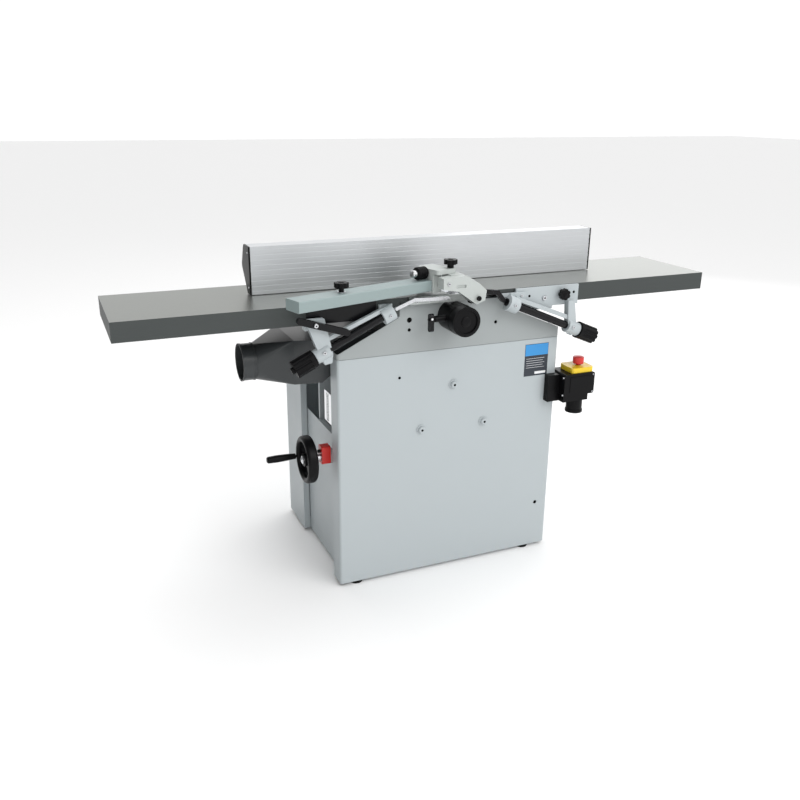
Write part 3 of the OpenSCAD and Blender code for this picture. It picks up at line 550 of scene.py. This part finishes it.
socket_screw("arm_pin_head", at(60, -66, 866), FORWARD, 7, BLACK_PAINT, "outfeed")
beam_plug("beam_plug_far", -469.5, -467)
beam_plug("beam_plug_near", -3, -0.5)
tip = [(10.3, 0), (10.3, 12.6), (8.5, 14.2), (3, 14.6)]
lathe("grip_tip", beam_at(-76.5, GRIP_Y, GRIP_Z), -ALONG, tip, CHROME, "guard_handle")
for i in range(5):
    place = beam_at(-73 + BAND_STEP * i, GRIP_Y, GRIP_Z)
    ring(f"grip_band_{i}", place, ALONG, 16, 17.4, 2.4, BLACK, "guard_handle", 32)


# ---- Star knobs: washer under the beam's knob, and a cap on each ----

washer = [(11, 0), (11, 1.4), (9.5, 1.8)]
washer_place = beam_at(BEAM_KNOB_X, BEAM_KNOB_Y, BEAM_HEIGHT + 0.05)
lathe("beam_knob_washer", washer_place, UPWARD, washer, STEEL, "guard")
beam_knob_top = beam_at(BEAM_KNOB_X, BEAM_KNOB_Y, BEAM_HEIGHT + 25.4)
swing_knob_top = at(3.5, 0, 965.8)
wide_cap = [(8, -0.5), (7.6, 0.8), (5, 1.6), (1.5, 1.9)]
lathe("beam_knob_cap", beam_knob_top, UPWARD, wide_cap, BLACK, "guard_beam_screw")
lathe("swing_knob_cap", swing_knob_top, UPWARD, wide_cap, BLACK, "guard_swing_screw")
slim_cap = [(7.5, -0.5), (7, 0.8), (4.5, 1.5), (1.5, 1.8)]
lathe("plate_knob_cap", at(366, -31, 845), FORWARD, slim_cap, BLACK, "infeed_knob")


# ---- Lock hub: ring and cap on its face, ring round it, and the handle's white dot ----

HUB_X, HUB_Z = 18, 806
ring("hub_ring", at(HUB_X, -80.5, HUB_Z), BACKWARD, 33, 38, 4, BLACK, "machine")
ring("hub_groove", at(HUB_X, -50, HUB_Z), BACKWARD, 41.8, 42.8, 3, BLACK, "machine")
hub_cap = [(14, -1), (14, 2), (11, 3.5), (3, 4)]
lathe("hub_cap", at(HUB_X, -76, HUB_Z), FORWARD, hub_cap, BLACK, "machine")
dot = [(3.2, -0.4), (3.2, 0.4)]
lathe("handle_dot", at(-66, -38, 812), FORWARD, dot, WHITE, "hub_handle", 24)


# ---- Switch: face plate, inlet ring, cover screws and the stop button's dome ----

SWITCH_SCREWS = [(378, 535), (378, 590), (486, 535), (486, 590)]
block("switch_plate", at(404, -36.5, 540), at(480, -35, 588), BLACK, "machine", 0.8)
ring("inlet_ring", at(452, 5, 462), UPWARD, 19, 27, 8, BLACK, "machine")
for i, (x, z) in enumerate(SWITCH_SCREWS):
    socket_screw(f"switch_screw_{i}", at(x, -35, z), FORWARD, 2.6, STEEL, "machine")
dome = [(15, 0), (12, 1.2), (6, 2.0), (1, 2.3)]
lathe("stop_dome", at(455, 5, 637.6), UPWARD, dome, MATERIALS["red_plastic"], "stop")


# ---- Fence: screws in the end caps ----

CAP_SCREWS = [
    (-516.5, LEFTWARD, 890),
    (-516.5, LEFTWARD, 984),
    (578.5, RIGHTWARD, 890),
    (578.5, RIGHTWARD, 984),
]
for i, (x, axis, z) in enumerate(CAP_SCREWS):
    socket_screw(f"cap_screw_{i}", at(x, 176, z), axis, 2.6, STEEL, "fence")


# ---- Stage ----

FLOOR_HALF = 30
MIDDLE = (0, 0, 0.6)


def add_floor():
    mesh = bpy.data.meshes.new("floor")
    corners = [(FLOOR_HALF * x, FLOOR_HALF * y, 0) for x, y in ((-1, -1), (1, -1), (1, 1), (-1, 1))]
    mesh.from_pydata(corners, [], [(0, 1, 2, 3)])
    material, _ = new_material("floor", (0.97, 0.97, 0.97), 0.8)
    mesh.materials.append(material)
    obj = bpy.data.objects.new("floor", mesh)
    bpy.context.scene.collection.objects.link(obj)


def add_light(name, place, target, size, power):
    data = bpy.data.lights.new(name, "AREA")
    data.shape = "RECTANGLE"
    data.size, data.size_y = size
    data.energy = power
    obj = bpy.data.objects.new(name, data)
    obj.location = place
    direction = Vector(target) - Vector(place)
    obj.rotation_euler = direction.to_track_quat("-Z", "Y").to_euler()
    bpy.context.scene.collection.objects.link(obj)


def add_world():
    """White surroundings that fade to dark on the machine's left."""
    world = bpy.data.worlds.new("studio")
    world.use_nodes = True
    tree = world.node_tree
    sky = tree.nodes["Background"]
    toward = tree.nodes.new("ShaderNodeTexCoord")
    parts = tree.nodes.new("ShaderNodeSeparateXYZ")
    fade = tree.nodes.new("ShaderNodeMapRange")
    fade.inputs["From Min"].default_value = -0.75
    fade.inputs["From Max"].default_value = -0.2
    fade.inputs["To Min"].default_value = 0.12
    fade.inputs["To Max"].default_value = 1.1
    tree.links.new(toward.outputs["Generated"], parts.inputs["Vector"])
    tree.links.new(parts.outputs["X"], fade.inputs["Value"])
    tree.links.new(fade.outputs["Result"], sky.inputs["Strength"])
    sky.inputs["Color"].default_value = (1, 1, 1, 1)
    bpy.context.scene.world = world


add_floor()
add_light("key", (1.6, -3.2, 3.2), MIDDLE, (3, 2), 55)
add_light("fill", (-2.2, -3.4, 2.2), MIDDLE, (2.5, 2.5), 18)
add_light("top", (0, 0.6, 3.8), (0, 0, 0.8), (3.5, 2.5), 36)
add_light("back", (3.4, 3.4, 1.9), MIDDLE, (3, 2), 20)
add_world()
bpy.context.scene.view_settings.view_transform = "Standard"
